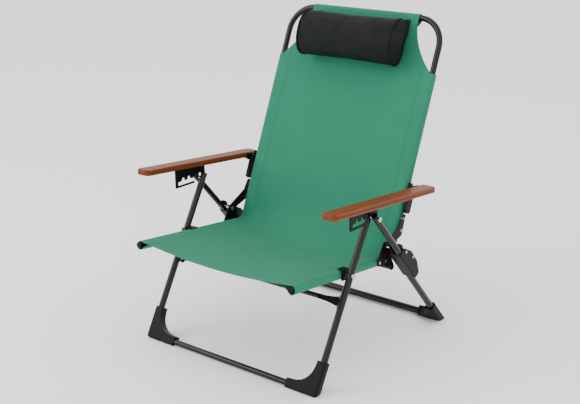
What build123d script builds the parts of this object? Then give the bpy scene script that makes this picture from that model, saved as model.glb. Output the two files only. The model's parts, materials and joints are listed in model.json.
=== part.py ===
from build123d import *
import os
from math import cos, hypot, radians, sin

os.makedirs("parts", exist_ok=True)

# Folding camp chair. Millimetres, +Z up, the sitter faces -Y, X = 0 is the middle.
# Side-view points are written (y, z) with y = 0 at the front feet, and Y_MID then
# moves everything so that Y = 0 is the middle of the bounding box.
Y_MID = 302.024

# Pivots in the side view
P = (240.0, 430.0)    # the two legs cross, and the armrest's rack hangs on this pin
S1 = (160.0, 288.0)   # seat on the front leg
H = (350.0, 311.0)    # back on the seat, resting on the rear leg
R = (468.0, 450.0)    # armrest on the back

# Tubes
FRONT_X, FRONT_R = 295.0, 9.5
REAR_TOP_X, REAR_TOP_R = 320.0, 9.0
REAR_LOW_X, REAR_LOW_R = 300.0, 10.0
SIDE_X, SIDE_R = 266.0, 9.0
WALL = 1.5
FRONT_FOOT = (4.0, 0.0)
REAR_FOOT = (635.0, 0.0)
FRONT_BAR = (7.0, 9.5)
REAR_BAR = (626.0, 12.0)
BAR_R = 8.5
REAR_BAR_R = 10.5

# Seat and back
SEAT_TILT = 5.9         # down towards the rear
SEAT_FRONT_Y, SEAT_REAR_Y = -55.0, 386.0
BACK_LEAN = 22.2        # back from the vertical
BACK_START = (412.0, 311.0)
BACK_LOW = 16.0         # the back tube starts this far up its line
BACK_HIGH = 634.0       # middle of the top bar
BACK_BEND = 78.0
SLEEVE_TOP = 478.0
TOP_SLEEVE_X = 187.0
CLOTH = 2.4
SLEEVE_IN, SLEEVE_OUT = 9.5, 12.5

# Hinge plates between the side tubes and the legs, from the inside out
SEAT_PLATE = (279.0, 281.0)
MID_PLATE = (281.3, 282.6)
BACK_LEAF = (282.9, 284.9)
STUD_R = 3.5
RIVET_R = 3.2
GAP = 0.05              # running clearance on a pivot's radius

# Armrest
ARM_IN, ARM_OUT = 299.0, 345.0
ARM_TILT = 5.0
ARM_FRONT = (18.0, 501.0)   # top of the front end
ARM_LONG = 492.0
ARM_THICK = 16.0
RACK = (305.2, 309.6)
NOTCH_PITCH = 23.8
NOTCH_COUNT = 4

SIDES = {"left": -1, "right": 1}


def at(x, point):
    """A side-view point on the plane x, moved to the part's own origin."""
    return (x, point[0] - Y_MID, point[1])


def toward(a, b):
    """Unit direction in the side view from a to b."""
    far = hypot(b[0] - a[0], b[1] - a[1])
    return ((b[0] - a[0]) / far, (b[1] - a[1]) / far)


def along(a, direction, distance, aside=0.0):
    """A point some way along a line, and some way to its upper left."""
    return (
        a[0] + direction[0] * distance - direction[1] * aside,
        a[1] + direction[1] * distance + direction[0] * aside,
    )


FRONT_UP = toward(FRONT_FOOT, P)
REAR_DOWN = toward(P, REAR_FOOT)
SEAT_BACK = (cos(radians(SEAT_TILT)), -sin(radians(SEAT_TILT)))
BACK_UP = (sin(radians(BACK_LEAN)), cos(radians(BACK_LEAN)))
ARM_BACK = (cos(radians(ARM_TILT)), -sin(radians(ARM_TILT)))
SEAT_FRONT = along(S1, SEAT_BACK, (SEAT_FRONT_Y - S1[0]) / SEAT_BACK[0])
SEAT_REAR = along(S1, SEAT_BACK, (SEAT_REAR_Y - S1[0]) / SEAT_BACK[0])


def save(part, name):
    part.label = name
    export_step(part, f"parts/{name}.step")


def rod(start, end, radius, hollow=0.0):
    """A round bar, or a tube when hollow is its inner radius."""
    axis = Vector(*end) - Vector(*start)
    with BuildPart() as made:
        with BuildSketch(Plane(origin=start, z_dir=axis)):
            Circle(radius)
            if hollow:
                Circle(hollow, mode=Mode.SUBTRACT)
        extrude(amount=axis.length)
    return made.part


def side_plate(outline, x_from, x_to, holes=(), corner=0.0):
    """A plate standing in the side view, with round holes given as (point, radius)."""
    low, high = min(x_from, x_to), max(x_from, x_to)
    with BuildPart() as made:
        with BuildSketch(Plane.YZ.offset(low)):
            with BuildLine():
                Polyline(*[(y - Y_MID, z) for y, z in outline], close=True)
            make_face()
            if corner:
                fillet(vertices(), radius=corner)
            for point, radius in holes:
                with Locations((point[0] - Y_MID, point[1])):
                    Circle(radius, mode=Mode.SUBTRACT)
        extrude(amount=high - low)
    return made.part


def across(point, x_from, x_to, radius, head=0.0, head_long=0.0):
    """A pin lying across the chair, with an optional round head at its outer end."""
    low, high = min(x_from, x_to), max(x_from, x_to)
    with BuildPart() as made:
        with BuildSketch(Plane.YZ.offset(low)):
            with Locations((point[0] - Y_MID, point[1])):
                Circle(radius)
        extrude(amount=high - low)
        if head:
            outer = x_to if x_to > 0 else x_to - head_long
            with BuildSketch(Plane.YZ.offset(outer)):
                with Locations((point[0] - Y_MID, point[1])):
                    Circle(head)
            extrude(amount=head_long)
    return made.part


def strip(a, b, half, extra=0.0):
    """Four corners of a strip from a to b."""
    way = toward(a, b)
    far = hypot(b[0] - a[0], b[1] - a[1])
    return [
        along(a, way, -extra, half),
        along(a, way, -extra, -half),
        along(a, way, far + extra, -half),
        along(a, way, far + extra, half),
    ]


# ---- Front legs, which carry everything else -------------------------------------

BRACE = along(FRONT_FOOT, FRONT_UP, 254.0, -10.5)
BRACE_R = 7.0
FOOT_LONG, FOOT_HIGH, FOOT_THICK = 104.0, 92.0, 24.0
FOOT_ROUND = 9.0

for side, sign in SIDES.items():
    x = sign * FRONT_X
    low = along(FRONT_FOOT, FRONT_UP, 30.0)
    high = along(P, FRONT_UP, 12.0)
    with BuildPart() as leg:
        add(rod(at(x, low), at(x, high), FRONT_R, FRONT_R - WALL))
        for point in (P, S1):
            add(across(point, x - 12, x + 12, STUD_R + GAP), mode=Mode.SUBTRACT)
    save(leg.part, f"front_leg_tube_{side}")

    # The foot is a moulded corner in the plane of the leg, cut off level at the floor.
    corner_plane = Plane(
        origin=at(sign * (FRONT_X + 13.0), FRONT_FOOT),
        x_dir=(-sign, 0, 0),
        z_dir=(0, -sign * FRONT_UP[1], sign * FRONT_UP[0]),
    )
    rise = 1 if corner_plane.y_dir.Z > 0 else -1
    with BuildPart() as foot:
        with BuildSketch(corner_plane):
            with BuildLine():
                Line((0, -rise * 10), (FOOT_LONG, -rise * 10))
                Line((FOOT_LONG, -rise * 10), (FOOT_LONG, rise * 24))
                Spline(
                    (FOOT_LONG, rise * 24),
                    (46, rise * 40),
                    (27, rise * FOOT_HIGH),
                    tangents=((-1, 0), (0, rise)),
                )
                Line((27, rise * FOOT_HIGH), (0, rise * FOOT_HIGH))
                Line((0, rise * FOOT_HIGH), (0, -rise * 10))
            make_face()
        extrude(amount=FOOT_THICK / 2, both=True)
        with Locations((0, 0, -50)):
            Box(900, 1200, 100, mode=Mode.SUBTRACT)
        heel = foot.edges().filter_by(
            lambda e: e.center().Z < 0.1 and abs(e.center().X) > FRONT_X + 12 and e.length > 10
        )
        fillet(heel, radius=FOOT_ROUND)
        edge = foot.edges().filter_by(lambda e: e.length > 60 and abs(e.center().X) > FRONT_X + 12)
        fillet(edge, radius=6.0)
        add(rod(at(x, low), at(x, high), FRONT_R + GAP), mode=Mode.SUBTRACT)
        add(
            rod(at(0, FRONT_BAR), at(sign * (FRONT_X - 12), FRONT_BAR), BAR_R + GAP),
            mode=Mode.SUBTRACT,
        )
    save(foot.part, f"front_foot_{side}")

with BuildPart() as bar:
    add(rod(at(-(FRONT_X - 12.1), FRONT_BAR), at(FRONT_X - 12.1, FRONT_BAR), BAR_R, BAR_R - WALL))
save(bar.part, "front_floor_bar")

# The brace ends in flared plates, each with a flange on its leg.
brace_end = 282.0
FLARE_FROM, FLARE_HALF, FLARE_THICK = 214.0, 20.0, 5.0
with BuildPart() as brace:
    add(rod(at(-FLARE_FROM, BRACE), at(FLARE_FROM, BRACE), BRACE_R, BRACE_R - 1.2))
save(brace.part, "cross_brace")

with BuildPart() as gussets:
    for sign in SIDES.values():
        outline = strip(along(BRACE, FRONT_UP, -20), along(BRACE, FRONT_UP, 20), 11.0)
        add(side_plate(outline, sign * brace_end, sign * 285.3, corner=4))
        flare_plane = Plane(
            origin=at(0, BRACE),
            x_dir=(sign, 0, 0),
            z_dir=(0, -sign * FRONT_UP[1], sign * FRONT_UP[0]),
        )
        start = FLARE_FROM + 0.1
        with BuildSketch(flare_plane):
            with BuildLine():
                Line((start, -BRACE_R), (start, BRACE_R))
                Spline((start, BRACE_R), (258, 10), (brace_end + 1, FLARE_HALF), tangents=((1, 0), (1, 1.2)))
                Line((brace_end + 1, FLARE_HALF), (brace_end + 1, -FLARE_HALF))
                Spline((brace_end + 1, -FLARE_HALF), (258, -10), (start, -BRACE_R), tangents=((-1, 1.2), (-1, 0)))
            make_face()
        extrude(amount=FLARE_THICK / 2, both=True)
save(gussets.part, "brace_gussets")

with BuildPart() as rivets:
    for sign in SIDES.values():
        for step in (-12, 12):
            spot = along(BRACE, FRONT_UP, step, 6.5)
            add(across(spot, sign * 279.6, sign * 281.95, 3.2))
save(rivets.part, "brace_rivets")

with BuildPart() as pins:
    for sign in SIDES.values():
        add(across(P, sign * 285.0, sign * 330.0, STUD_R, 7.0, 3.0))
save(pins.part, "leg_cross_pins")

with BuildPart() as bolts:
    for sign in SIDES.values():
        add(across(S1, sign * 278.8, sign * 305.0, STUD_R, 7.0, 3.0))
save(bolts.part, "seat_pivot_bolts")

with BuildPart() as caps:
    for sign in SIDES.values():
        top = along(P, FRONT_UP, 12.1)
        add(rod(at(sign * FRONT_X, top), at(sign * FRONT_X, along(top, FRONT_UP, 4)), FRONT_R + 0.2))
save(caps.part, "leg_top_caps")

# ---- Rear legs --------------------------------------------------------------------

COUPLER_FROM, COUPLER_TO = 172.0, 300.0
REAR_LEG_LONG = hypot(REAR_FOOT[0] - P[0], REAR_FOOT[1] - P[1])

for side, sign in SIDES.items():
    top_end = at(sign * REAR_TOP_X, along(P, REAR_DOWN, -14.0))
    top_low = at(sign * REAR_TOP_X, along(P, REAR_DOWN, COUPLER_TO - 70))
    with BuildPart() as upper:
        add(rod(top_end, top_low, REAR_TOP_R, REAR_TOP_R - WALL))
        add(across(P, sign * 305, sign * 335, STUD_R + GAP), mode=Mode.SUBTRACT)
    save(upper.part, f"rear_upper_tube_{side}")

    low_top = at(sign * REAR_LOW_X, along(P, REAR_DOWN, COUPLER_TO - 60))
    low_end = at(sign * REAR_LOW_X, along(P, REAR_DOWN, REAR_LEG_LONG - 26))
    with BuildPart() as lower:
        add(rod(low_top, low_end, REAR_LOW_R, REAR_LOW_R - WALL))
    save(lower.part, f"rear_lower_tube_{side}")

    # Moulded knuckle: flush with the leg in front, swelling out behind.
    front = -11.0
    outline = [
        along(P, REAR_DOWN, COUPLER_FROM, front),
        along(P, REAR_DOWN, COUPLER_TO, front),
        along(P, REAR_DOWN, COUPLER_TO + 4, 12),
        along(P, REAR_DOWN, COUPLER_TO - 34, 30),
        along(P, REAR_DOWN, COUPLER_FROM + 44, 32),
        along(P, REAR_DOWN, COUPLER_FROM + 12, 20),
        along(P, REAR_DOWN, COUPLER_FROM, 12),
    ]
    with BuildPart() as coupler:
        add(side_plate(outline, sign * 288.5, sign * 331.5, corner=6))
        chamfer(coupler.faces().sort_by(Axis.X)[0].edges(), length=2.5)
        chamfer(coupler.faces().sort_by(Axis.X)[-1].edges(), length=2.5)
        add(rod(top_end, top_low, REAR_TOP_R + GAP), mode=Mode.SUBTRACT)
        add(rod(low_top, low_end, REAR_LOW_R + GAP), mode=Mode.SUBTRACT)
    save(coupler.part, f"rear_coupler_{side}")

    foot_plane = Plane(
        origin=at(sign * (REAR_LOW_X + 13.0), REAR_FOOT),
        x_dir=(-sign, 0, 0),
        z_dir=(0, sign * REAR_DOWN[1], -sign * REAR_DOWN[0]),
    )
    rise = 1 if foot_plane.y_dir.Z > 0 else -1
    with BuildPart() as foot:
        with BuildSketch(foot_plane):
            with BuildLine():
                Line((0, -rise * 14), (76, -rise * 14))
                Line((76, -rise * 14), (76, rise * 32))
                Spline((76, rise * 32), (40, rise * 42), (28, rise * 84), tangents=((-1, 0), (0, rise)))
                Line((28, rise * 84), (0, rise * 84))
                Line((0, rise * 84), (0, -rise * 14))
            make_face()
        extrude(amount=13.5, both=True)
        with Locations((0, 0, -50)):
            Box(900, 1800, 100, mode=Mode.SUBTRACT)
        edge = foot.edges().filter_by(lambda e: e.length > 60 and abs(e.center().X) > REAR_LOW_X + 12)
        fillet(edge, radius=8.0)
        add(rod(low_top, low_end, REAR_LOW_R + GAP), mode=Mode.SUBTRACT)
        add(
            rod(at(0, REAR_BAR), at(sign * (REAR_LOW_X - 12), REAR_BAR), REAR_BAR_R + GAP),
            mode=Mode.SUBTRACT,
        )
    save(foot.part, f"rear_foot_{side}")

with BuildPart() as bar:
    end = REAR_LOW_X - 12.1
    add(rod(at(-end, REAR_BAR), at(end, REAR_BAR), REAR_BAR_R, REAR_BAR_R - WALL))
save(bar.part, "rear_floor_bar")

# The saddle on the rear leg is open upwards and rearwards, so the hinge stud lifts out.
SADDLE = (305.5, 309.5)
SADDLE_SLOT = STUD_R + 0.5
LIFT = (0.333, 0.943)
with BuildPart() as saddles:
    for sign in SIDES.values():
        outline = [
            along(P, REAR_DOWN, 138, -8),
            along(P, REAR_DOWN, 171, -11),
            along(P, REAR_DOWN, 171, 11),
            along(P, REAR_DOWN, 138, 9),
        ]
        add(side_plate(outline, sign * SADDLE[0], sign * SADDLE[1], corner=3))
        mouth = along(H, LIFT, 40)
        lift = [
            along(H, LIFT, 0, SADDLE_SLOT),
            along(H, LIFT, 0, -SADDLE_SLOT),
            along(mouth, LIFT, 0, -16),
            along(mouth, LIFT, 0, 16),
        ]
        add(side_plate(lift, sign * 304, sign * 311), mode=Mode.SUBTRACT)
        add(across(H, sign * 304, sign * 311, SADDLE_SLOT), mode=Mode.SUBTRACT)
        add(across(along(P, REAR_DOWN, 145), sign * 309.4, sign * 310.9, 3.5))
save(saddles.part, "seat_saddles")

with BuildPart() as rivets:
    for sign in SIDES.values():
        for step, aside in ((COUPLER_FROM + 16, 12), (COUPLER_FROM + 60, 22), (COUPLER_TO - 24, 20)):
            spot = along(P, REAR_DOWN, step, aside)
            add(across(spot, sign * 331.6, sign * 333.8, 4.0))
save(rivets.part, "coupler_rivets")

with BuildPart() as clips:
    for sign in SIDES.values():
        start = along(P, REAR_DOWN, COUPLER_FROM - 16, 9.6)
        end = along(P, REAR_DOWN, COUPLER_FROM - 0.5, 9.6)
        outline = [start, end, along(end, REAR_DOWN, 0, 9), along(start, REAR_DOWN, 4, 9)]
        add(side_plate(outline, sign * 313, sign * 327))
save(clips.part, "coupler_clips")

# ---- Seat ---------------------------------------------------------------------------

for side, sign in SIDES.items():
    x = sign * SIDE_X
    save(rod(at(x, SEAT_FRONT), at(x, SEAT_REAR), SIDE_R, SIDE_R - WALL), f"seat_tube_{side}")

with BuildPart() as caps:
    for sign in SIDES.values():
        x = sign * SIDE_X
        front = along(SEAT_FRONT, SEAT_BACK, -0.1)
        rear = along(SEAT_REAR, SEAT_BACK, 0.1)
        add(rod(at(x, front), at(x, along(front, SEAT_BACK, -4)), SIDE_R))
        add(rod(at(x, rear), at(x, along(rear, SEAT_BACK, 4)), SIDE_R))
save(caps.part, "seat_end_caps")


def sling(start, direction, length, rivets):
    """A flat cloth panel with a round sleeve along each side tube, pierced for its rivets."""
    plane = Plane(origin=at(0, start), x_dir=(1, 0, 0), z_dir=(0, direction[0], direction[1]))
    with BuildPart() as made:
        with BuildSketch(plane):
            Rectangle(2 * SIDE_X, CLOTH)
            with Locations((-SIDE_X, 0), (SIDE_X, 0)):
                Circle(SLEEVE_OUT)
                Circle(SLEEVE_IN, mode=Mode.SUBTRACT)
        extrude(amount=length)
        for spot in rivets:
            for sign in SIDES.values():
                add(across(spot, sign * SIDE_X, sign * 290, RIVET_R + 0.5), mode=Mode.SUBTRACT)
    return made.part


SEAT_RIVETS = [along(SEAT_REAR, SEAT_BACK, back) for back in (-64, -34)]
seat_long = hypot(SEAT_REAR[0] - SEAT_FRONT[0], SEAT_REAR[1] - SEAT_FRONT[1])
seat_cloth = sling(along(SEAT_FRONT, SEAT_BACK, 2), SEAT_BACK, seat_long - 3, SEAT_RIVETS)
save(seat_cloth, "seat_sling")

# Black straps hooked over the sleeve at the front pivot
STRAP = (279.0, 282.0)
with BuildPart() as straps:
    for sign in SIDES.values():
        outline = strip(along(S1, SEAT_BACK, -18), along(S1, SEAT_BACK, 18), 15.0)
        add(side_plate(outline, sign * STRAP[0], sign * STRAP[1], [(S1, STUD_R + GAP)], corner=5))
        over = strip(along(S1, SEAT_BACK, -14, 13.0), along(S1, SEAT_BACK, 14, 13.0), 0.01)
        lid = [over[0], over[3], along(over[3], SEAT_BACK, 0, 2.2), along(over[0], SEAT_BACK, 0, 2.2)]
        add(side_plate(lid, sign * 262, sign * STRAP[1]))
save(straps.part, "seat_pivot_straps")

with BuildPart() as plates:
    for sign in SIDES.values():
        outline = [
            along(SEAT_REAR, SEAT_BACK, -74, 8),
            along(SEAT_REAR, SEAT_BACK, -70, -11),
            along(SEAT_REAR, SEAT_BACK, -6, -11),
            along(SEAT_REAR, SEAT_BACK, -4, 4),
            (H[0] + 14, H[1] + 4),
            (H[0] + 4, H[1] + 14),
            (H[0] - 10, H[1] + 12),
        ]
        holes = [(H, STUD_R + GAP)] + [(spot, RIVET_R + GAP) for spot in SEAT_RIVETS]
        add(side_plate(outline, sign * SEAT_PLATE[0], sign * SEAT_PLATE[1], holes, corner=4))
save(plates.part, "seat_hinge_plates")

with BuildPart() as studs:
    for sign in SIDES.values():
        add(across(H, sign * 276.7, sign * 278.9, 6.5))
        add(across(H, sign * 278.8, sign * 310.3, STUD_R))
save(studs.part, "hinge_studs")

with BuildPart() as rivets:
    for sign in SIDES.values():
        for spot in SEAT_RIVETS:
            add(across(spot, sign * 275.2, sign * 281.2, RIVET_R))
            add(across(spot, sign * 281.1, sign * 282.6, 4.4))
save(rivets.part, "seat_plate_rivets")

# ---- Yoke on the hinge studs, between the seat and the back ---------------------------

YOKE_LONG = 80.0
YOKE_DROP = 63.0        # the yoke's bar hangs this far below the horizontal, behind H
YOKE_BAR_R = 8.0
YOKE_DOWN = (cos(radians(YOKE_DROP)), -sin(radians(YOKE_DROP)))
YOKE_BAR = along(H, YOKE_DOWN, YOKE_LONG)
with BuildPart() as yokes:
    for sign in SIDES.values():
        outline = strip(H, YOKE_BAR, 9.0, 8.5)
        add(side_plate(outline, sign * MID_PLATE[0], sign * MID_PLATE[1], [(H, STUD_R + GAP)], corner=8))
save(yokes.part, "hinge_yokes")

with BuildPart() as bar:
    end = MID_PLATE[0] - 0.1
    add(rod(at(-end, YOKE_BAR), at(end, YOKE_BAR), YOKE_BAR_R, YOKE_BAR_R - WALL))
save(bar.part, "yoke_bar")

# ---- Back ----------------------------------------------------------------------------

back_low = along(BACK_START, BACK_UP, BACK_LOW)
back_top = along(BACK_START, BACK_UP, BACK_HIGH)
back_tilt_plane = Plane(
    origin=at(0, BACK_START),
    x_dir=(1, 0, 0),
    z_dir=(0, -BACK_UP[1], BACK_UP[0]),
)
with BuildPart() as hoop:
    with BuildLine() as path:
        FilletPolyline(
            at(-SIDE_X, back_low),
            at(-SIDE_X, back_top),
            at(SIDE_X, back_top),
            at(SIDE_X, back_low),
            radius=BACK_BEND,
        )
    with BuildSketch(Plane(origin=path.line @ 0, z_dir=path.line % 0)):
        Circle(SIDE_R)
        Circle(SIDE_R - WALL, mode=Mode.SUBTRACT)
    sweep()
save(hoop.part, "back_tube")

BACK_RIVETS = [along(back_low, BACK_UP, up) for up in (14, 48)]
with BuildPart() as back_cloth:
    add(sling(along(back_low, BACK_UP, 2), BACK_UP, SLEEVE_TOP - BACK_LOW - 2, BACK_RIVETS))
    # The top is narrower, with a scooped corner each side that bares the tube.
    with BuildSketch(back_tilt_plane):
        with BuildLine():
            Line((-250, SLEEVE_TOP - 4), (250, SLEEVE_TOP - 4))
            Spline(
                (250, SLEEVE_TOP - 4),
                (206, 548),
                (TOP_SLEEVE_X, 616),
                tangents=((-0.5, 1), (0, 1)),
            )
            Line((TOP_SLEEVE_X, 616), (-TOP_SLEEVE_X, 616))
            Spline(
                (-TOP_SLEEVE_X, 616),
                (-206, 548),
                (-250, SLEEVE_TOP - 4),
                tangents=((0, -1), (-0.5, -1)),
            )
        make_face()
    extrude(amount=CLOTH / 2, both=True)
    add(rod(at(-TOP_SLEEVE_X, back_top), at(TOP_SLEEVE_X, back_top), SLEEVE_OUT))
    with BuildSketch(back_tilt_plane):
        with Locations((0, 618)):
            Rectangle(2 * TOP_SLEEVE_X, 8)
    extrude(amount=CLOTH / 2, both=True)
    add(rod(at(-240, back_top), at(240, back_top), SLEEVE_IN), mode=Mode.SUBTRACT)
save(back_cloth.part, "back_sling")

# Leaf from the hinge stud to the foot of the back tube
with BuildPart() as leaves:
    for sign in SIDES.values():
        outline = [
            (H[0] - 8, H[1] - 6),
            (H[0] + 6, H[1] - 9),
            along(back_low, BACK_UP, 2, -9),
            along(back_low, BACK_UP, 62, -6),
            along(back_low, BACK_UP, 60, 8),
            along(back_low, BACK_UP, 26, 14),
            (H[0] - 2, H[1] + 10),
        ]
        holes = [(H, STUD_R + GAP)] + [(spot, RIVET_R + GAP) for spot in BACK_RIVETS]
        add(side_plate(outline, sign * BACK_LEAF[0], sign * BACK_LEAF[1], holes, corner=3))
save(leaves.part, "back_leaves")

with BuildPart() as rivets:
    for sign in SIDES.values():
        for spot in BACK_RIVETS:
            add(across(spot, sign * 275.2, sign * 285.2, RIVET_R))
save(rivets.part, "back_leaf_rivets")

PILLOW_UP, PILLOW_OUT = 546.0, 52.0
PILLOW_HIGH, PILLOW_DEEP, PILLOW_WIDE = 144.0, 98.0, 356.0
pillow_middle = along(BACK_START, BACK_UP, PILLOW_UP, PILLOW_OUT)
with BuildPart() as pillow:
    plane = Plane(origin=at(0, pillow_middle), x_dir=(0, BACK_UP[0], BACK_UP[1]), z_dir=(1, 0, 0))
    with BuildSketch(plane):
        Ellipse(PILLOW_HIGH / 2, PILLOW_DEEP / 2)
    extrude(amount=PILLOW_WIDE / 2, both=True)
    fillet(pillow.edges(), radius=14)
save(pillow.part, "pillow")

with BuildPart() as loops:
    for sign in SIDES.values():
        x = sign * 165.0
        start = along(BACK_START, BACK_UP, PILLOW_UP + 58.5, 20)
        high = along(BACK_START, BACK_UP, BACK_HIGH + 2, SLEEVE_OUT + 1.2)
        with BuildSketch(Plane.YZ.offset(x - 9)):
            with BuildLine():
                Polyline(
                    *[(p[0] - Y_MID, p[1]) for p in (
                        start, high, along(high, BACK_UP, 0, 1.6), along(start, BACK_UP, 0, 2.4))],
                    close=True,
                )
            make_face()
        extrude(amount=18)
save(loops.part, "pillow_straps")

# ---- Armrests ------------------------------------------------------------------------

# A pivot bracket on each side of the back tube carries the armrest's stud.
ARM_BRACKET = (279.0, 282.4)
ARM_LEVER = (282.7, 292.6)
ARM_LUG = (293.0, 296.0)
STUD_OUT = 296.3

for side, sign in SIDES.items():
    with BuildPart() as bracket:
        outline = strip(along(R, BACK_UP, -17), along(R, BACK_UP, 17), 10.0)
        add(side_plate(outline, sign * ARM_BRACKET[0], sign * ARM_BRACKET[1], corner=4))
        add(across(R, sign * ARM_BRACKET[0], sign * STUD_OUT, STUD_R, 4.0, 2.0))
    save(bracket.part, f"arm_pivot_{side}")

    outline = strip(along(R, BACK_UP, -70), along(R, BACK_UP, 11), 12.0)
    lever = side_plate(outline, sign * ARM_LEVER[0], sign * ARM_LEVER[1], [(R, STUD_R + GAP)], corner=9)
    save(lever, f"arm_lever_{side}")

    arm_low = along(ARM_FRONT, ARM_BACK, 0, -ARM_THICK)
    with BuildPart() as arm:
        plane = Plane(
            origin=at(sign * (ARM_IN + ARM_OUT) / 2, arm_low),
            x_dir=(1, 0, 0),
            z_dir=(0, ARM_BACK[1] * -1, ARM_BACK[0]),
        )
        width = ARM_OUT - ARM_IN
        with BuildSketch(plane):
            with Locations((0, ARM_LONG / 2)):
                RectangleRounded(width, ARM_LONG, 13)
        extrude(amount=ARM_THICK)
        up = Axis((0, 0, 0), (0, -ARM_BACK[1], ARM_BACK[0]))
        fillet(arm.faces().sort_by(up)[-1].edges(), radius=4.5)
        fillet(arm.faces().sort_by(up)[0].edges(), radius=2.0)
    save(arm.part, f"armrest_{side}")

    # Lug beside the armrest's inner edge, with a flange under the wood
    under = along(arm_low, ARM_BACK, (R[0] - ARM_FRONT[0]) / ARM_BACK[0], -0.1)
    with BuildPart() as lug:
        outline = strip(along(R, ARM_BACK, -23), along(R, ARM_BACK, 23), 10.5)
        add(side_plate(outline, sign * ARM_LUG[0], sign * ARM_LUG[1], [(R, STUD_R + GAP)], corner=5))
        flange = [
            along(under, ARM_BACK, -22), along(under, ARM_BACK, 22),
            along(under, ARM_BACK, 22, -2.5), along(under, ARM_BACK, -22, -2.5),
        ]
        add(side_plate(flange, sign * ARM_LUG[0], sign * 325))
    save(lug.part, f"arm_lug_{side}")

    # Rack: flange under the wood, notched web, front arm and open guide rod
    rack_front, rack_rear = 138.0, 262.0
    lift = [along(arm_low, ARM_BACK, (y - ARM_FRONT[0]) / ARM_BACK[0], -0.1) for y in (rack_front, rack_rear)]
    tip, notch = 436.0, 446.5
    outline = [lift[0], lift[1], (rack_rear, 437.0)]
    for n in range(NOTCH_COUNT):
        y = P[0] - n * NOTCH_PITCH
        outline += [(y + 8.5, tip), (y + 5.0, notch - 2.0), (y, notch), (y - 5.0, notch - 2.0), (y - 8.0, tip)]
    outline += [(147.0, tip), (147.0, 424.5), (216.0, 424.5), (216.0, 419.0), (rack_front, 419.0)]
    with BuildPart() as rack:
        add(side_plate(outline, sign * RACK[0], sign * RACK[1]))
        flange = [lift[0], lift[1], along(lift[1], ARM_BACK, 0, -2.5), along(lift[0], ARM_BACK, 0, -2.5)]
        add(side_plate(flange, sign * RACK[0], sign * 330))
    save(rack.part, f"rack_{side}")

    with BuildPart() as screws:
        for y in (158.0, 242.0, R[0] - 12, R[0] + 12):
            spot = along(arm_low, ARM_BACK, (y - ARM_FRONT[0]) / ARM_BACK[0], -2.7)
            end = along(spot, ARM_BACK, 0, -2.0)
            add(rod(at(sign * 318, spot), at(sign * 318, end), 3.6))
    save(screws.part, f"arm_screws_{side}")
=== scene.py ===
"""Folding camp chair: woven sling, pillow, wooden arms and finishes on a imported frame."""

import json
from math import atan2, cos, hypot, pi, radians, remainder, sin, tan

import bpy
from mathutils import Matrix, Vector


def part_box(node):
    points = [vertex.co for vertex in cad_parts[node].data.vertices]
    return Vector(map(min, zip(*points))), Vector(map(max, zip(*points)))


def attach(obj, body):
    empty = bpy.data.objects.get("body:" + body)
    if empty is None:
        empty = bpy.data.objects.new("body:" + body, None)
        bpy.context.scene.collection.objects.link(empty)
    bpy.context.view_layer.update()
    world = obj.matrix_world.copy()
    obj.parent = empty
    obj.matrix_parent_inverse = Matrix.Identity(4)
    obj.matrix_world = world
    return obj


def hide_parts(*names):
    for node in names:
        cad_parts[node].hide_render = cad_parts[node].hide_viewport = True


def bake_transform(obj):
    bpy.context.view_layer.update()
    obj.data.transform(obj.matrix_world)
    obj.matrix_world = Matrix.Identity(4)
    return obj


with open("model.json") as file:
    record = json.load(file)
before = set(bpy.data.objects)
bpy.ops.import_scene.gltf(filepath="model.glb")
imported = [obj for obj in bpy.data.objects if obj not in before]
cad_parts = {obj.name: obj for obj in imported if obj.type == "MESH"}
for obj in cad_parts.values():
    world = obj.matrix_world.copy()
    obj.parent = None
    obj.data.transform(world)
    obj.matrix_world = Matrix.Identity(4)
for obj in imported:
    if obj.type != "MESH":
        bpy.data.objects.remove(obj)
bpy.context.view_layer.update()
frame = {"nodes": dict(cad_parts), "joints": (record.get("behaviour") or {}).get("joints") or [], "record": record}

bl_info = {
    "name": "Folding Camp Chair",
    "version": (1, 0, 0),
    "blender": (4, 5, 0),
    "location": "3D View > Sidebar > Camp Chair",
    "description": "Dresses the chair's frame with its sling, pillow, arms and finishes",
    "category": "Add Mesh",
}

# ---- The frame's own measures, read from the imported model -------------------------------

JOINTS = {joint["name"]: joint for joint in frame["joints"]}
HINGE = Vector(JOINTS["back_recline"]["pos_m"])
SEAT_PIVOT = Vector(JOINTS["seat_turn"]["pos_m"])
TUBE_LOW, TUBE_HIGH = (Vector(corner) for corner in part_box("seat_tube_right"))
HOOP_LOW, HOOP_HIGH = (Vector(corner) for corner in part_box("back_tube"))

SIDE_X = (TUBE_LOW.x + TUBE_HIGH.x) / 2
TUBE_R = (TUBE_HIGH.x - TUBE_LOW.x) / 2
SEAT_TILT = radians(5.9)
BACK_LEAN = radians(22.2)
ARM_TILT = radians(5)
SEAT_DIR = Vector((0, cos(SEAT_TILT), -sin(SEAT_TILT)))
SEAT_UP = Vector((0, sin(SEAT_TILT), cos(SEAT_TILT)))
BACK_DIR = Vector((0, sin(BACK_LEAN), cos(BACK_LEAN)))
BACK_OUT = Vector((0, -cos(BACK_LEAN), sin(BACK_LEAN)))

# The top bar's middle line, and from it the line of the back's side tubes
TOP_BAR = Vector((0, HOOP_HIGH.y - TUBE_R, HOOP_HIGH.z - TUBE_R))


def meet(a, along_a, b, along_b):
    """Where two lines cross in the side view."""
    across = along_a.y * along_b.z - along_a.z * along_b.y
    gap = b - a
    step = (gap.y * along_b.z - gap.z * along_b.y) / across
    return a + along_a * step


CORNER = meet(SEAT_PIVOT, SEAT_DIR, TOP_BAR, BACK_DIR)
SEAT_LONG = (CORNER.y - TUBE_LOW.y) / SEAT_DIR.y
BACK_LONG = (TOP_BAR - CORNER).length
BEND = SEAT_TILT + (pi / 2 - BACK_LEAN)


# ---- Settings ----------------------------------------------------------------------------

def metres(name, text, value):
    return bpy.props.FloatProperty(name=name, description=text, default=value, unit="LENGTH", precision=4)


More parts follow.
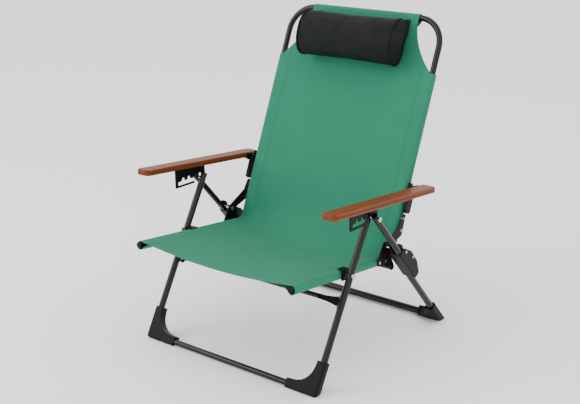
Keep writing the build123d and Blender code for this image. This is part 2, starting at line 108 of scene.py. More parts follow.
def paint(name, text, value):
    return bpy.props.FloatVectorProperty(
        name=name, description=text, default=value, subtype="COLOR", size=3, min=0, max=1
    )


class SlingSettings(bpy.types.PropertyGroup):
    thickness: metres("Thickness", "Thickness of the woven cloth", 0.0011)
    seat_sag: metres("Seat sag", "How far the middle of the seat hangs below its tubes", 0.019)
    back_sag: metres("Back sag", "How far the middle of the back falls behind its tubes", 0.010)
    crease_side: metres("Side bend", "Radius of the bend into the back at the tubes", 0.030)
    crease_middle: metres("Middle bend", "Radius of the bend into the back at the middle", 0.150)
    sleeve_top: metres("Sleeve top", "Height of the side sleeves up the back", 0.529)
    top_width: metres("Top sleeve half width", "Half the width of the sleeve on the top bar", 0.187)
    colour: paint("Cloth colour", "Colour of the woven sling", (0.018, 0.182, 0.102))
    thread: paint("Thread colour", "Colour of the stitching", (0.012, 0.110, 0.062))


class PillowSettings(bpy.types.PropertyGroup):
    length: metres("Length", "Length of the roll between its end faces", 0.356)
    height: metres("Height", "Height of the roll up the back", 0.144)
    depth: metres("Depth", "Depth of the roll out of the back", 0.098)
    rise: metres("Rise", "Height of the roll's middle up the back", 0.597)
    voxel: metres("Cloth mesh size", "Edge length of the mesh that is inflated", 0.0055)
    swell: metres("Swelling limit", "The furthest that a point may swell", 0.007)
    firmness: bpy.props.FloatProperty(
        name="Firmness", description="How much of the cloth's inward slack the filling takes up", default=0.85
    )
    colour: paint("Pillow colour", "Colour of the pillow's cover", (0.0030, 0.0048, 0.0038))


class FinishSettings(bpy.types.PropertyGroup):
    tube: paint("Tube paint", "Powder coat on the tubes", (0.0085, 0.0078, 0.0048))
    plate: paint("Plate paint", "Black paint on the brackets", (0.0045, 0.0045, 0.0045))
    plastic: paint("Plastic", "Moulded feet and knuckles", (0.0030, 0.0031, 0.0024))
    steel: paint("Bright steel", "Rivets and pins", (0.55, 0.54, 0.52))
    wood: paint("Wood", "Middle tone of the arm wood", (0.200, 0.049, 0.013))
    wood_dark: paint("Wood grain", "Dark tone of the arm wood's grain", (0.060, 0.012, 0.004))


# ---- Shader building ---------------------------------------------------------------------

class Nodes:
    """Adds and links the nodes of one tree."""

    def __init__(self, tree):
        self.tree = tree

    def add(self, kind, inputs=None, **settings):
        node = self.tree.nodes.new(kind)
        for key, value in settings.items():
            setattr(node, key, value)
        for key, value in (inputs or {}).items():
            if isinstance(value, bpy.types.NodeSocket):
                self.tree.links.new(value, node.inputs[key])
            else:
                node.inputs[key].default_value = value
        return node

    def math(self, operation, a, b=0.0, c=0.0):
        return self.add("ShaderNodeMath", {0: a, 1: b, 2: c}, operation=operation).outputs[0]

    def ramp(self, value, low, high, to_low=0.0, to_high=1.0):
        inputs = {"Value": value, "From Min": low, "From Max": high, "To Min": to_low, "To Max": to_high}
        return self.add("ShaderNodeMapRange", inputs, clamp=True).outputs["Result"]

    def noise(self, vector, scale, detail=3.0, rough=0.5):
        inputs = {"Vector": vector, "Scale": scale, "Detail": detail, "Roughness": rough}
        return self.add("ShaderNodeTexNoise", inputs).outputs["Fac"]

    def blend(self, factor, a, b):
        node = self.add("ShaderNodeMix", data_type="RGBA")
        for key, value in ((0, factor), (6, a), (7, b)):
            if isinstance(value, bpy.types.NodeSocket):
                self.tree.links.new(value, node.inputs[key])
            else:
                node.inputs[key].default_value = value
        return node.outputs[2]


def shared_group(name, inputs, outputs):
    """A new shader group with these sockets, its node builder, and its two end nodes."""
    tree = bpy.data.node_groups.new(name, "ShaderNodeTree")
    for label, kind, value in inputs:
        socket = tree.interface.new_socket(name=label, in_out="INPUT", socket_type=kind)
        if value is not None:
            socket.default_value = value
    for label, kind in outputs:
        tree.interface.new_socket(name=label, in_out="OUTPUT", socket_type=kind)
    make = Nodes(tree)
    return tree, make, make.add("NodeGroupInput"), make.add("NodeGroupOutput")


FLOAT, COLOUR, VECTOR = "NodeSocketFloat", "NodeSocketColor", "NodeSocketVector"


def weave_group():
    """Plain weave: threads over and under each other, with uneven yarn."""
    tree, make, start, end = shared_group(
        "plain_weave",
        [("Vector", VECTOR, None), ("Threads per metre", FLOAT, 900.0), ("Unevenness", FLOAT, 0.4)],
        [("Height", FLOAT), ("Shade", FLOAT)],
    )
    scaled = make.add(
        "ShaderNodeVectorMath", {0: start.outputs[0], 3: start.outputs[1]}, operation="SCALE"
    ).outputs[0]
    parts = make.add("ShaderNodeSeparateXYZ", {0: scaled})
    across = make.math("ABSOLUTE", make.math("SINE", make.math("MULTIPLY", parts.outputs[0], pi)))
    along = make.math("ABSOLUTE", make.math("SINE", make.math("MULTIPLY", parts.outputs[1], pi)))
    cell = make.math("ADD", make.math("FLOOR", parts.outputs[0]), make.math("FLOOR", parts.outputs[1]))
    over = make.math("ABSOLUTE", make.math("MODULO", cell, 2.0))
    height = make.add("ShaderNodeMix", {0: over, 2: across, 3: along}).outputs[0]
    slub = make.noise(scaled, 0.35, 2.0)
    bumpy = make.math("MULTIPLY", height, make.ramp(slub, 0.3, 0.7, 0.7, 1.0))
    soft = make.noise(start.outputs[0], 9.0, 4.0)
    shade = make.math("MULTIPLY", make.math("SUBTRACT", soft, 0.5), start.outputs[2])
    make.tree.links.new(bumpy, end.inputs["Height"])
    make.tree.links.new(make.math("ADD", shade, 0.5), end.inputs["Shade"])
    return tree


def wear_group():
    """Sparse scuffs, fine speckle and broad smudges for hard surfaces."""
    tree, make, start, end = shared_group(
        "scuffs",
        [("Vector", VECTOR, None), ("Speckle size", FLOAT, 700.0), ("Amount", FLOAT, 0.5)],
        [("Scuff", FLOAT), ("Speckle", FLOAT), ("Smudge", FLOAT)],
    )
    streak = make.add(
        "ShaderNodeMapping", {"Vector": start.outputs[0], "Scale": (1.0, 0.25, 0.25)}
    ).outputs[0]
    fine = make.ramp(make.noise(streak, 420.0, 3.0), 0.66, 0.74)
    patch = make.ramp(make.noise(start.outputs[0], 22.0, 3.0), 0.56, 0.68)
    worn = make.math("MULTIPLY", make.math("MULTIPLY", fine, patch), start.outputs[2])
    speckle = make.noise(start.outputs[0], start.outputs[1], 2.0)
    smudge = make.noise(start.outputs[0], 7.0, 3.0)
    for value, name in ((worn, "Scuff"), (speckle, "Speckle"), (smudge, "Smudge")):
        tree.links.new(value, end.inputs[name])
    return tree


def grain_group():
    """Long wood grain with pores and growth lines, running along Y."""
    tree, make, start, end = shared_group(
        "long_grain",
        [("Vector", VECTOR, None), ("Light", COLOUR, None), ("Dark", COLOUR, None)],
        [("Colour", COLOUR), ("Height", FLOAT), ("Figure", FLOAT)],
    )
    level = make.add(
        "ShaderNodeVectorRotate", {"Vector": start.outputs[0], "Angle": ARM_TILT}, rotation_type="X_AXIS"
    ).outputs[0]
    stretched = make.add("ShaderNodeMapping", {"Vector": level, "Scale": (1.0, 0.045, 1.0)}).outputs[0]
    warp = make.noise(stretched, 30.0, 3.0)
    parts = make.add("ShaderNodeSeparateXYZ", {0: stretched})
    spread = make.math("ADD", parts.outputs[0], make.math("MULTIPLY", parts.outputs[2], 0.8))
    wander = make.math("MULTIPLY", warp, 22.0)
    rings = make.math("SINE", make.math("ADD", make.math("MULTIPLY", spread, 900.0), wander))
    lines = make.ramp(rings, -1.0, 1.0)
    pores = make.ramp(make.noise(stretched, 1400.0, 2.0), 0.56, 0.70)
    broad = make.noise(stretched, 55.0, 3.0)
    mix = make.math("ADD", make.math("MULTIPLY", lines, 0.40), make.math("MULTIPLY", broad, 0.55))
    tone = make.blend(make.ramp(mix, 0.25, 0.85), start.outputs[1], start.outputs[2])
    deep = make.blend(make.math("MULTIPLY", pores, 0.65), tone, start.outputs[2])
    height = make.math("SUBTRACT", make.math("MULTIPLY", lines, 0.3), pores)
    for value, name in ((deep, "Colour"), (height, "Height"), (lines, "Figure")):
        tree.links.new(value, end.inputs[name])
    return tree


def new_material(name):
    material = bpy.data.materials.new(name)
    material.use_nodes = True
    make = Nodes(material.node_tree)
    shader = material.node_tree.nodes["Principled BSDF"]
    return material, make, shader


def opaque(colour, share=1.0):
    """The colour, made lighter or darker by a share, as a shader's four numbers."""
    return (*[part * share for part in colour], 1.0)


def connect(make, shader, **sockets):
    for name, value in sockets.items():
        make.tree.links.new(value, shader.inputs[name.replace("_", " ")])


def bump(make, height, strength, distance):
    inputs = {"Height": height, "Strength": strength, "Distance": distance}
    return make.add("ShaderNodeBump", inputs).outputs[0]


def woven_material(name, colour, thread, weave, lines):
    """Woven cloth with stitched rows. Lines lists (axis, place, reach) in metres on the cloth's map."""
    material, make, shader = new_material(name)
    cloth = make.add("ShaderNodeUVMap", uv_map="cloth").outputs[0]
    cell = make.add("ShaderNodeGroup", {"Vector": cloth, "Threads per metre": 850.0}, node_tree=weave)
    parts = make.add("ShaderNodeSeparateXYZ", {0: cloth})
    stitched = None
    for axis, place, reach in lines:
        off = make.math("ABSOLUTE", make.math("SUBTRACT", make.math("ABSOLUTE", parts.outputs[axis]), place))
        near = make.ramp(off, 0.0009, 0.0005)
        pitch = make.math("FRACT", make.math("MULTIPLY", parts.outputs[1 - axis], 220.0))
        dash = make.math("MULTIPLY", near, make.ramp(pitch, 0.68, 0.60))
        inside = make.ramp(make.math("ABSOLUTE", parts.outputs[1 - axis]), reach + 0.0005, reach)
        dash = make.math("MULTIPLY", dash, inside)
        stitched = dash if stitched is None else make.math("MAXIMUM", stitched, dash)
    light = opaque([min(1.0, part * 1.22) for part in colour])
    deep = opaque(colour, 0.80)
    tone = make.blend(cell.outputs["Shade"], deep, light)
    # Painted shade: the low points of the weave are darkened towards the thread colour.
    valley_shade = make.blend(make.ramp(cell.outputs["Height"], 0.0, 0.5, 0.22, 0.0), tone, opaque(thread))
    relief = make.math("ADD", cell.outputs["Height"], make.math("MULTIPLY", stitched, 2.5))
    connect(
        make,
        shader,
        Base_Color=make.blend(stitched, valley_shade, opaque(thread)),
        Roughness=make.ramp(cell.outputs["Height"], 0.0, 1.0, 0.92, 0.74),
        Normal=bump(make, relief, 0.35, 0.0004),
    )
    shader.inputs["Sheen Weight"].default_value = 0.03
    shader.inputs["Sheen Roughness"].default_value = 0.5
    shader.inputs["Specular IOR Level"].default_value = 0.15
    return material


def knit_material(name, colour, weave):
    """Close black knit on the pillow, with a faint shine."""
    material, make, shader = new_material(name)
    place = make.add("ShaderNodeTexCoord").outputs["Object"]
    cell = make.add("ShaderNodeGroup", {"Vector": place, "Threads per metre": 1100.0}, node_tree=weave)
    crease = make.noise(place, 26.0, 4.0)
    relief = make.math("ADD", cell.outputs["Height"], make.math("MULTIPLY", crease, 3.0))
    connect(
        make,
        shader,
        Base_Color=make.blend(cell.outputs["Shade"], opaque(colour, 0.7), opaque(colour, 1.6)),
        Roughness=make.ramp(crease, 0.3, 0.7, 0.68, 0.82),
        Normal=bump(make, relief, 0.25, 0.0005),
    )
    shader.inputs["Sheen Weight"].default_value = 0.0
    shader.inputs["Specular IOR Level"].default_value = 0.20
    return material


def coated_material(name, colour, wear, metallic, shine, rough, grain, worn):
    """Paint or moulding: fine texture, smudges in the gloss and light scuffs."""
    material, make, shader = new_material(name)
    place = make.add("ShaderNodeTexCoord").outputs["Object"]
    rub = make.add("ShaderNodeGroup", {"Vector": place, "Speckle size": grain, "Amount": 0.6}, node_tree=wear)
    tint = make.blend(rub.outputs["Smudge"], opaque(colour, 0.88), opaque(colour, 1.12))
    connect(
        make,
        shader,
        Base_Color=make.blend(rub.outputs["Scuff"], tint, opaque(worn)),
        Roughness=make.ramp(rub.outputs["Smudge"], 0.3, 0.7, rough - 0.03, rough + 0.04),
        Normal=bump(make, rub.outputs["Speckle"], 0.06, 0.0002),
    )
    shader.inputs["Metallic"].default_value = metallic
    shader.inputs["Specular IOR Level"].default_value = shine
    return material


def steel_material(name, colour, wear):
    """Bright zinc-plated rivets with turned marks."""
    material, make, shader = new_material(name)
    place = make.add("ShaderNodeTexCoord").outputs["Object"]
    marks = {"Vector": place, "Speckle size": 1600.0, "Amount": 0.8}
    rub = make.add("ShaderNodeGroup", marks, node_tree=wear)
    connect(
        make,
        shader,
        Base_Color=make.blend(rub.outputs["Smudge"], opaque(colour, 0.8), opaque(colour)),
        Roughness=make.ramp(rub.outputs["Speckle"], 0.3, 0.7, 0.18, 0.34),
        Normal=bump(make, rub.outputs["Speckle"], 0.10, 0.0002),
    )
    shader.inputs["Metallic"].default_value = 1.0
    return material


def wood_material(name, light, dark, grain, wear):
    """Varnished hardwood with long grain."""
    material, make, shader = new_material(name)
    place = make.add("ShaderNodeTexCoord").outputs["Object"]
    figure = make.add(
        "ShaderNodeGroup", {"Vector": place, "Light": opaque(light), "Dark": opaque(dark)}, node_tree=grain
    )
    rub = make.add("ShaderNodeGroup", {"Vector": place, "Speckle size": 500.0, "Amount": 0.7}, node_tree=wear)
    pale = opaque([min(1.0, part * 1.35) for part in light])
    connect(
        make,
        shader,
        Base_Color=make.blend(rub.outputs["Scuff"], figure.outputs["Colour"], pale),
        Roughness=make.ramp(figure.outputs["Figure"], 0.0, 1.0, 0.36, 0.50),
        Normal=bump(make, figure.outputs["Height"], 0.30, 0.0003),
    )
    shader.inputs["Coat Weight"].default_value = 0.03
    shader.inputs["Coat Roughness"].default_value = 0.25
    shader.inputs["Specular IOR Level"].default_value = 0.12
    return material


# ---- Modelling helpers -------------------------------------------------------------------

def clear():
    """Object mode with nothing selected, so an operator acts only on what it makes."""
    if bpy.context.object and bpy.context.object.mode != "OBJECT":
        bpy.ops.object.mode_set(mode="OBJECT")
    bpy.ops.object.select_all(action="DESELECT")


def only(piece):
    clear()
    piece.select_set(True)
    bpy.context.view_layer.objects.active = piece


def settle(piece):
    """Puts the piece's place into its mesh."""
    only(piece)
    bpy.ops.object.transform_apply(location=True, rotation=True, scale=True)


def apply_all(piece):
    only(piece)
    for modifier in list(piece.modifiers):
        bpy.ops.object.modifier_apply(modifier=modifier.name)


def join(pieces, name):
    clear()
    for piece in pieces:
        piece.select_set(True)
    bpy.context.view_layer.objects.active = pieces[0]
    bpy.ops.object.join()
    pieces[0].name = name
    pieces[0].data.name = name
    return pieces[0]


def dress(piece, material):
    piece.data.materials.clear()
    piece.data.materials.append(material)


def cloth_grid(name, columns, rows, place):
    """A fine grid whose every point is put where place(u, v) says, with u and v from 0 to 1.

    place returns the point and its two distances on the flat cloth, which become its map."""
    clear()
    bpy.ops.mesh.primitive_grid_add(x_subdivisions=columns, y_subdivisions=rows, size=1)
    piece = bpy.context.object
    piece.name = name
    piece.data.name = name
    flat = {}
    for vertex in piece.data.vertices:
        point, across, along = place(vertex.co.x + 0.5, vertex.co.y + 0.5)
        vertex.co = point
        flat[vertex.index] = (across, along)
    layer = piece.data.uv_layers.active or piece.data.uv_layers.new(name="cloth")
    layer.name = "cloth"
    for loop in piece.data.loops:
        layer.data[loop.index].uv = flat[loop.vertex_index]
    return piece


def thicken(piece, thickness, angle=50):
    """Gives a single-sided cloth its thickness, evenly on both sides."""
    solid = piece.modifiers.new("thickness", "SOLIDIFY")
    solid.thickness = thickness
    solid.offset = 0.0
    apply_all(piece)
    bpy.ops.object.shade_smooth_by_angle(angle=radians(angle))


def profile(points):
    """Steps along a polyline: returns its length and a function from 0..1 to a point on it."""
    far = [0.0]
    for a, b in zip(points, points[1:]):
        far.append(far[-1] + (Vector(b) - Vector(a)).length)

    def at(t):
        goal = t * far[-1]
        for n in range(len(points) - 1):
            if goal <= far[n + 1] or n == len(points) - 2:
                share = (goal - far[n]) / max(far[n + 1] - far[n], 1e-9)
                return Vector(points[n]).lerp(Vector(points[n + 1]), share)

    return far[-1], at


# ---- The sling ---------------------------------------------------------------------------

SEAM_X = 0.240  # where each side sleeve is stitched to the panel


def sleeve_section(bulge):
    """One side's sleeve round its tube, from the outer top inwards under it, as (x, normal)."""
    wide, tall = TUBE_R + 0.0024, TUBE_R + bulge
    points = []
    for step in range(15):
        turn = radians(90 - 18 * step)
        points.append((SIDE_X + wide * cos(turn), -0.0015 + tall * sin(turn)))
    points.append((SEAM_X + 0.004, 0.0000))
    points.append((SEAM_X, 0.0040))
    return points


def cross_section(bulge):
    """The whole cloth across the chair, seam to seam, without its sag."""
    right = sleeve_section(bulge)
    left = [(-x, n) for x, n in reversed(right)]
    panel = [(x, 0.0085) for x in (-0.246, -0.20, -0.15, -0.10, -0.05, 0.0, 0.05, 0.10, 0.15, 0.20, 0.246)]
    return left + panel + right


def bend_radius(x, settings):
    share = max(0.0, 1.0 - (x / 0.262) ** 2)
    return settings.crease_side + (settings.crease_middle - settings.crease_side) * share


def sling_point(x, normal, way, settings):
    """A point of the sling. way is 0 at the bend's middle, negative on the seat and positive up the back."""
    radius = bend_radius(x, settings)
    tangent = radius * tan(BEND / 2)
    half = radius * BEND / 2
    if way < -half:
        base = CORNER - SEAT_DIR * (tangent - half - way)
        out = SEAT_UP
    elif way > half:
        base = CORNER + BACK_DIR * (tangent - half + way)
        out = BACK_OUT
    else:
        middle = CORNER - SEAT_DIR * tangent + SEAT_UP * radius
        turn = (way + half) / radius
        base = middle + (SEAT_DIR * sin(turn) - SEAT_UP * cos(turn)) * radius
        out = (SEAT_UP * cos(turn) - SEAT_DIR * sin(turn)).normalized()
    return Vector((x, base.y, base.z)) + out * normal


def sag(x, amount):
    return amount * max(0.0, 1.0 - (x / SEAM_X) ** 2)


class CHAIR_OT_seat_sling(bpy.types.Operator):
    """Seat half of the woven sling, sleeved on the seat tubes"""

    bl_idname = "chair.seat_sling"
    bl_label = "Seat sling"

    def execute(self, context):
        settings = context.scene.chair_sling
        points = cross_section(0.0035)
        wide, at = profile(points)

        def place(u, v):
            x, normal = at(u)
            radius = bend_radius(x, settings)
            reach = SEAT_LONG - 0.002 - radius * tan(BEND / 2) + radius * BEND / 2
            # The middle of the front edge is cut back a little and hangs.
            front = 0.010 * max(0.0, 1.0 - (x / SEAM_X) ** 2)
            way = -(reach - front) * (1.0 - v)
            # The rear eases into the back sheet's own sag at the bend.
            hang = sag(x, settings.seat_sag) * (1.0 - 0.62 * max(0.0, (v - 0.55) / 0.45) ** 1.5)
            point = sling_point(x, normal - hang, way, settings)
            return point, (u - 0.5) * wide, SEAT_LONG * (v - 1.0)

        piece = cloth_grid("seat_cloth", 150, 110, place)
        thicken(piece, settings.thickness)
        dress(piece, bpy.data.materials["green_cloth"])
        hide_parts("seat_sling")
        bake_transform(piece)
        return {"FINISHED"}


class CHAIR_OT_back_sling(bpy.types.Operator):
    """Back half of the sling: side sleeves, scooped top corners and the top bar's sleeve"""

    bl_idname = "chair.back_sling"
    bl_label = "Back sling"

    def execute(self, context):
        settings = context.scene.chair_sling
        points = cross_section(0.0030)
        wide, at = profile(points)
        top = settings.sleeve_top

        def low(u, v):
            x, normal = at(u)
            radius = bend_radius(x, settings)
            reach = top - radius * tan(BEND / 2) + radius * BEND / 2
            hang = sag(x, settings.seat_sag * 0.38 * (1 - v) + settings.back_sag * v)
            point = sling_point(x, normal - hang, reach * v, settings)
            return point, (u - 0.5) * wide, top * v

        body = cloth_grid("back_cloth", 150, 110, low)

        # Rows above the sleeves: up the panel, over the top bar and down behind it.
        bar = TUBE_R + 0.0020
        rise = BACK_LONG - top
        turns = [(BACK_LONG + bar * sin(radians(a)), bar * cos(radians(a))) for a in range(0, 181, 15)]
        path = [(top + rise * n / 14, 0.0085 + (bar - 0.0085) * (n / 14) ** 2) for n in range(14)]
        path += turns
        path += [(BACK_LONG - 0.012, -0.008), (BACK_LONG - 0.026, 0.004)]
        high_long, climb = profile(path)

        def high(u, v):
            up, normal = climb(v)
            share = min(1.0, max(0.0, (up - top) / (rise - 0.004)))
            if v > 0.6:
                share = 1.0
            edge = 0.2650 - (0.2650 - settings.top_width) * (1.0 - (1.0 - share) ** 2.1)
            x = (2 * u - 1) * edge
            flat = 1.0 - share ** 1.5
            hang = sag(x, settings.back_sag) * flat * (1.0 if normal > 0 else 0.0)
            base = CORNER + BACK_DIR * up
            return Vector((x, base.y, base.z)) + BACK_OUT * (normal - hang), x, top + v * high_long

        crown = cloth_grid("back_cloth_top", 90, 70, high)
        piece = join([body, crown], "back_cloth")
        thicken(piece, settings.thickness)
        dress(piece, bpy.data.materials["green_cloth"])
        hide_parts("back_sling")
        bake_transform(piece)
        return {"FINISHED"}


# ---- The pillow --------------------------------------------------------------------------

def against_back(rise, out):
    """A point up the back's tube line and out of it."""
    return CORNER + BACK_DIR * rise + BACK_OUT * out


def skin_reach(skin, turn):
    """How far the roll's skin stands from its axis in one direction, among points near a seam."""
    near = [hypot(y, z) for y, z in skin if abs(remainder(atan2(z, y) - turn, 2 * pi)) < radians(5)]
    return max(near)


class CHAIR_OT_pillow(bpy.types.Operator):
    """Head pillow: a stuffed roll with flat ends and piping"""

    bl_idname = "chair.pillow"
    bl_label = "Pillow"

    def execute(self, context):
        settings = context.scene.chair_pillow
        half = settings.length / 2
        middle = against_back(settings.rise, settings.depth / 2 + 0.004)

        # The roll stands in its own frame first: X along it, Y out of the back, Z up the back.
        clear()
        bpy.ops.mesh.primitive_cylinder_add(vertices=72, radius=1.0, depth=2.0, end_fill_type="NGON")
        roll = bpy.context.object
        roll.name = "pillow_roll"
        roll.data.name = "pillow_roll"
        roll.rotation_euler = (0, radians(90), 0)
        settle(roll)
        slim = 0.0060  # room for the cloth to swell
        for vertex in roll.data.vertices:
            out, up = vertex.co.y, vertex.co.z
            # Flat against the back, full towards the sitter's head
            depth = settings.depth / 2 - slim
            out = out * depth if out > 0 else -depth * 0.80 * (1 - (1 + out) ** 2.4)
            vertex.co = (vertex.co.x * (half - slim), out, up * (settings.height / 2 - slim))
        bpy.ops.object.mode_set(mode="EDIT")
        bpy.ops.mesh.select_all(action="DESELECT")
        bpy.ops.object.mode_set(mode="OBJECT")
        for edge in roll.data.edges:
            ends = [roll.data.vertices[n].co.x for n in edge.vertices]
            edge.select = abs(ends[0] - ends[1]) < 1e-6
        bpy.ops.object.mode_set(mode="EDIT")
        bpy.ops.mesh.bevel(offset=0.010, segments=4, profile=0.5)
        bpy.ops.object.mode_set(mode="OBJECT")
        mesh = roll.modifiers.new("even_mesh", "REMESH")
        mesh.mode = "VOXEL"
        mesh.voxel_size = settings.voxel
        apply_all(roll)
        still = [vertex.co.copy() for vertex in roll.data.vertices]
        cloth = roll.modifiers.new("stuffing", "CLOTH")
        cloth.settings.quality = 6
        cloth.settings.mass = 0.25
        cloth.settings.use_pressure = True
        cloth.settings.uniform_pressure_force = 14.0
        cloth.settings.tension_stiffness = 40
        cloth.settings.compression_stiffness = 40
        cloth.settings.bending_stiffness = 2.0
        cloth.settings.effector_weights.gravity = 0.0
        for number in range(1, 21):
            context.scene.frame_set(number)
        apply_all(roll)
        for vertex, start in zip(roll.data.vertices, still):
            push = vertex.co - start
            outward = Vector((0, start.y, start.z)).normalized()
            inward = min(0.0, push.dot(outward))
            push -= outward * inward * settings.firmness
            if push.length > settings.swell:
                push = push.normalized() * settings.swell
            vertex.co = start + push
        context.scene.frame_set(1)
        smooth = roll.modifiers.new("smooth", "SUBSURF")
        smooth.levels = smooth.render_levels = 1
        apply_all(roll)
        bpy.ops.object.shade_smooth()

        # Piping in a ring round each end, just inside its end face
        pipes = []
        for side in (-1, 1):
            clear()
            bpy.ops.mesh.primitive_torus_add(
                major_radius=1.0, minor_radius=0.055, major_segments=96, minor_segments=12
            )
            pipe = bpy.context.object
            pipe.rotation_euler = (0, radians(90), 0)
            settle(pipe)
            seam = side * (half - 0.018)
            skin = [(v.co.y, v.co.z) for v in roll.data.vertices if abs(v.co.x - seam) < 0.012]
            for vertex in pipe.data.vertices:
                turn = atan2(vertex.co.z, vertex.co.y)
                flat = Vector((0, cos(turn), sin(turn)))
                tube = vertex.co - flat
                vertex.co = flat * skin_reach(skin, turn) + tube * (0.0022 / 0.055) + Vector((seam, 0, 0))
            bpy.ops.object.shade_smooth()
            pipes.append(pipe)
        piping = join(pipes, "pillow_piping")

        turn = Matrix(((1, 0, 0), (0, BACK_OUT.y, BACK_DIR.y), (0, BACK_OUT.z, BACK_DIR.z)))
        for piece in (roll, piping):
            piece.data.transform(Matrix.Translation(middle) @ turn.to_4x4())
            only(piece)
            bpy.ops.object.mode_set(mode="EDIT")
            bpy.ops.mesh.select_all(action="SELECT")
            bpy.ops.mesh.normals_make_consistent(inside=False)
            bpy.ops.object.mode_set(mode="OBJECT")
            dress(piece, bpy.data.materials["black_knit"])
            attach(piece, "back")
        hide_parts("pillow")
        return {"FINISHED"}


def band(name, points, width, thickness):
    """A flat strap that follows side-view points, centred on X = 0."""
    long, at = profile(points)

    def place(u, v):
        point = Vector(at(v))
        point.x += (u - 0.5) * width
        return point, (u - 0.5) * width, v * long

    piece = cloth_grid(name, 6, 60, place)
    thicken(piece, thickness, 40)
    return piece


class CHAIR_OT_pillow_straps(bpy.types.Operator):
    """Webbing tabs that hang the pillow on the top sleeve"""

    bl_idname = "chair.pillow_straps"
    bl_label = "Pillow straps"

    def execute(self, context):
        settings = context.scene.chair_pillow
        grip = TUBE_R + 0.0042
        points = [
            against_back(settings.rise + settings.height * 0.20, 0.0112),
            against_back(settings.rise + settings.height * 0.40, 0.0120),
            against_back(BACK_LONG - 0.011, grip),
        ]
        bands = []
        for side in (-1, 1):
            piece = band("pillow_strap", points, 0.018, 0.0016)
            piece.data.transform(Matrix.Translation((side * 0.155, 0, 0)))
            bands.append(piece)
        piece = join(bands, "pillow_webbing")
        dress(piece, bpy.data.materials["black_webbing"])
        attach(piece, "back")
        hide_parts("pillow_straps")
        return {"FINISHED"}


# ---- Finishes and stage ------------------------------------------------------------------

FINISH = {
    "bronze_tube": "tube_paint",
    "black_steel": "plate_paint",
    "black_plastic": "moulding",
    "rivet_steel": "bright_steel",
    "wood": "arm_wood",
}


class CHAIR_OT_finishes(bpy.types.Operator):
    """Materials for every piece, put on the frame's own parts"""

    bl_idname = "chair.finishes"
    bl_label = "Finishes"

    def execute(self, context):
        colours = context.scene.chair_finish
        sling = context.scene.chair_sling
        pillow = context.scene.chair_pillow
        weave, wear, grain = weave_group(), wear_group(), grain_group()
        lines = [(0, SEAM_X - 0.002, 9.0), (0, SEAM_X - 0.008, 9.0)]
        woven_material("green_cloth", sling.colour, sling.thread, weave, lines)
        woven_material("black_webbing", (0.010, 0.010, 0.010), (0.03, 0.03, 0.03), weave, [(0, 0.0075, 9.0)])
        knit_material("black_knit", pillow.colour, weave)
        coated_material("tube_paint", colours.tube, wear, 0.35, 0.40, 0.24, 1500.0, (0.05, 0.045, 0.035))
        coated_material("plate_paint", colours.plate, wear, 0.0, 0.10, 0.38, 1200.0, (0.03, 0.03, 0.03))
        coated_material("moulding", colours.plastic, wear, 0.0, 0.14, 0.45, 800.0, (0.02, 0.02, 0.018))
        steel_material("bright_steel", colours.steel, wear)
        wood_material("arm_wood", colours.wood, colours.wood_dark, grain, wear)
        slots = {part["node"]: part["material_slot"] for part in frame["record"]["subparts"]}
        for node, piece in frame["nodes"].items():
            name = FINISH.get(slots[node])
            if name:
                for place in piece.material_slots:
                    place.material = bpy.data.materials[name]
        return {"FINISHED"}


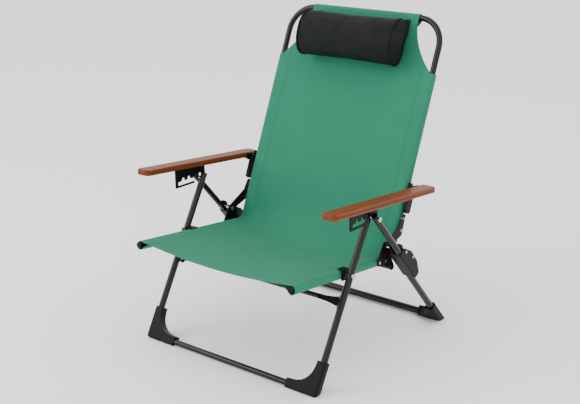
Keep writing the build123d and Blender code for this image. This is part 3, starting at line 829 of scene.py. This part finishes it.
class CHAIR_OT_stage(bpy.types.Operator):
    """Pale floor, soft lights and the camera"""

    bl_idname = "chair.stage"
    bl_label = "Stage"

    def execute(self, context):
        clear()
        bpy.ops.mesh.primitive_plane_add(size=60, location=(0, 0, -0.0005))
        floor = bpy.context.object
        floor.name = "floor"
        material, make, shader = new_material("pale_floor")
        place = make.add("ShaderNodeTexCoord").outputs["Object"]
        connect(make, shader, Roughness=make.ramp(make.noise(place, 3.0), 0.3, 0.7, 0.85, 0.95))
        shader.inputs["Base Color"].default_value = (0.96, 0.96, 0.96, 1)
        floor.data.materials.append(material)

        world = bpy.data.worlds.new("studio")
        world.use_nodes = True
        world.node_tree.nodes["Background"].inputs[0].default_value = (1.0, 1.0, 1.0, 1)
        world.node_tree.nodes["Background"].inputs[1].default_value = 1.65
        context.scene.world = world
        for name, spot, size, power in (
            ("key", (-2.6, -2.8, 2.6), 2.0, 70),
            ("fill", (3.2, -1.8, 2.2), 2.6, 6),
            ("top", (0.0, 0.4, 3.8), 3.0, 12),
        ):
            clear()
            bpy.ops.object.light_add(type="AREA", location=spot)
            light = bpy.context.object
            light.name = name
            light.data.size = size
            light.data.energy = power
            light.rotation_euler = (Vector((0, 0, 0.4)) - Vector(spot)).to_track_quat("-Z", "Y").to_euler()

        turn, tilt, away = radians(37.86), radians(17.83), 3.049
        look = Vector((0, -0.0200, 0.4026))
        back = Vector((sin(turn) * cos(tilt), -cos(turn) * cos(tilt), sin(tilt)))
        clear()
        bpy.ops.object.camera_add(location=look + back * away)
        camera = bpy.context.object
        camera.name = "camera"
        camera.rotation_euler = (-back).to_track_quat("-Z", "Y").to_euler()
        camera.data.sensor_fit = "HORIZONTAL"
        camera.data.sensor_width = 36.0
        camera.data.lens = 66.56
        context.scene.camera = camera
        return {"FINISHED"}


class CHAIR_PT_panel(bpy.types.Panel):
    """The chair's steps, in the sidebar"""

    bl_label = "Camp Chair"
    bl_idname = "CHAIR_PT_panel"
    bl_space_type = "VIEW_3D"
    bl_region_type = "UI"
    bl_category = "Camp Chair"

    def draw(self, context):
        for step in STEPS:
            self.layout.operator(step.bl_idname)
        for group in ("chair_sling", "chair_pillow", "chair_finish"):
            settings = getattr(context.scene, group)
            box = self.layout.box()
            for name in settings.__annotations__:
                box.prop(settings, name)


STEPS = (
    CHAIR_OT_finishes,
    CHAIR_OT_seat_sling,
    CHAIR_OT_back_sling,
    CHAIR_OT_pillow,
    CHAIR_OT_pillow_straps,
    CHAIR_OT_stage,
)
CLASSES = (SlingSettings, PillowSettings, FinishSettings, *STEPS, CHAIR_PT_panel)


def register():
    for cls in CLASSES:
        bpy.utils.register_class(cls)
    bpy.types.Scene.chair_sling = bpy.props.PointerProperty(type=SlingSettings)
    bpy.types.Scene.chair_pillow = bpy.props.PointerProperty(type=PillowSettings)
    bpy.types.Scene.chair_finish = bpy.props.PointerProperty(type=FinishSettings)


def unregister():
    del bpy.types.Scene.chair_sling
    del bpy.types.Scene.chair_pillow
    del bpy.types.Scene.chair_finish
    for cls in reversed(CLASSES):
        bpy.utils.unregister_class(cls)


def main():
    register()
    for step in STEPS:
        group, name = step.bl_idname.split(".")
        getattr(getattr(bpy.ops, group), name)()


if __name__ == "__main__":
    main()
